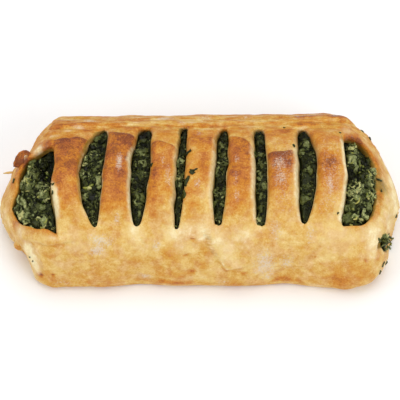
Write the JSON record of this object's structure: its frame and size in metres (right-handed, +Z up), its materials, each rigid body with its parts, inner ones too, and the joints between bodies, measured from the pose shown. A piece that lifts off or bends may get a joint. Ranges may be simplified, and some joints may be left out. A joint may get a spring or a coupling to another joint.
{
  "type": "spinach strudel",
  "caption": "Oblong baked strudel of golden dough, slit across its top and open at both ends, with a dark green chopped spinach filling that runs through it.",
  "frame": {"origin": "middle of the underside, on the surface that the strudel lies on", "axes": "+X along the strudel, +Z up, -Y towards the front"},
  "size_m": [0.18, 0.087, 0.0429],
  "materials": {
    "baked_dough": "golden baked dough, browner on the strips and dusted with flour",
    "spinach": "moist chopped spinach"
  },
  "bodies": {
    "root": {"pastry_case": "baked_dough", "spinach_filling": "spinach"}
  },
  "joints": []
}
